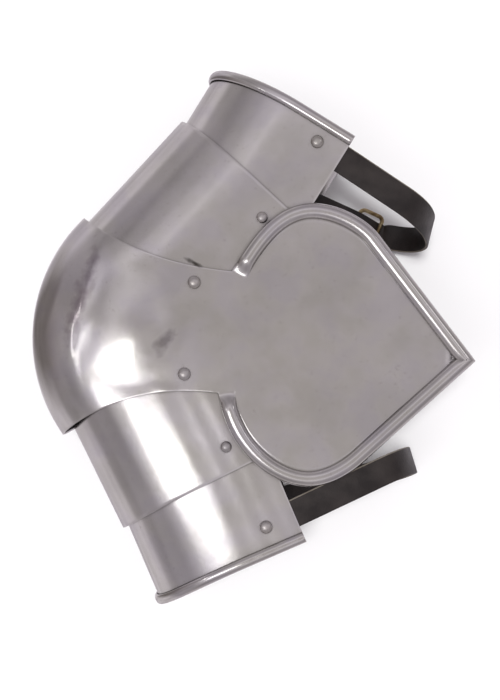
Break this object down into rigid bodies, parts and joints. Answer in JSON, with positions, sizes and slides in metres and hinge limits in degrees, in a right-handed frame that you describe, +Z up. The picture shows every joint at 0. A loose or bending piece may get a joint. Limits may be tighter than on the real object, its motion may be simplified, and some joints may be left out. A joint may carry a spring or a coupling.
{
  "type": "couter",
  "caption": "Articulated steel elbow defence: domed cop with a flat heart-shaped wing, sliding lames, rimmed end plates and buckled leather straps.",
  "frame": {"origin": "middle of the base of the whole couter as it lies on its far side", "axes": "+X from the elbow point towards the wing's tip, +Y towards the upper end plate, +Z up, the way the wing's face looks"},
  "size_m": [0.32, 0.3956, 0.1075],
  "materials": {
    "plate_steel": "polished mild steel sheet with fine brushing and soft hammered dents",
    "rivet_steel": "polished domed steel rivets",
    "buckle_brass": "aged dull brass wire",
    "strap_leather": "dark brown-black leather with lighter cut edges"
  },
  "bodies": {
    "cop_body": {"elbow_cop": "plate_steel", "upper_cop_rivet_near": "rivet_steel", "upper_cop_rivet_far": "rivet_steel", "lower_cop_rivet_near": "rivet_steel", "lower_cop_rivet_far": "rivet_steel"},
    "upper_lame_body": {"upper_lame": "plate_steel", "upper_lame_rivet_near": "rivet_steel", "upper_lame_rivet_far": "rivet_steel"},
    "upper_end_body": {"upper_end_plate": "plate_steel", "upper_strap": "strap_leather", "upper_strap_rivet": "rivet_steel", "upper_chape": "strap_leather", "upper_chape_rivet": "rivet_steel", "upper_fold_rivet": "rivet_steel", "upper_buckle_frame": "buckle_brass", "upper_buckle_tongue": "buckle_brass"},
    "lower_lame_body": {"lower_lame": "plate_steel", "lower_lame_rivet_near": "rivet_steel", "lower_lame_rivet_far": "rivet_steel"},
    "lower_end_body": {"lower_end_plate": "plate_steel", "lower_strap": "strap_leather", "lower_strap_rivet": "rivet_steel", "lower_chape": "strap_leather", "lower_chape_rivet": "rivet_steel", "lower_fold_rivet": "rivet_steel", "lower_buckle_frame": "buckle_brass", "lower_buckle_tongue": "buckle_brass"}
  },
  "joints": [
    {"name": "upper_lame_hinge", "type": "hinge", "parent": "cop_body", "child": "upper_lame_body", "pos_m": [-0.0416, 0.0386, 0.05358], "axis": [0, 0, 1], "range_deg": [-1, 15]},
    {"name": "upper_end_hinge", "type": "hinge", "parent": "upper_lame_body", "child": "upper_end_body", "pos_m": [0.00076, 0.0891, 0.05358], "axis": [0, 0, 1], "range_deg": [-15, 4]},
    {"name": "lower_lame_hinge", "type": "hinge", "parent": "cop_body", "child": "lower_lame_body", "pos_m": [-0.0416, -0.026, 0.05358], "axis": [0, 0, 1], "range_deg": [-15, 4]},
    {"name": "lower_end_hinge", "type": "hinge", "parent": "lower_lame_body", "child": "lower_end_body", "pos_m": [-0.00697, -0.07366, 0.05358], "axis": [0, 0, 1], "range_deg": [-4, 15]}
  ]
}
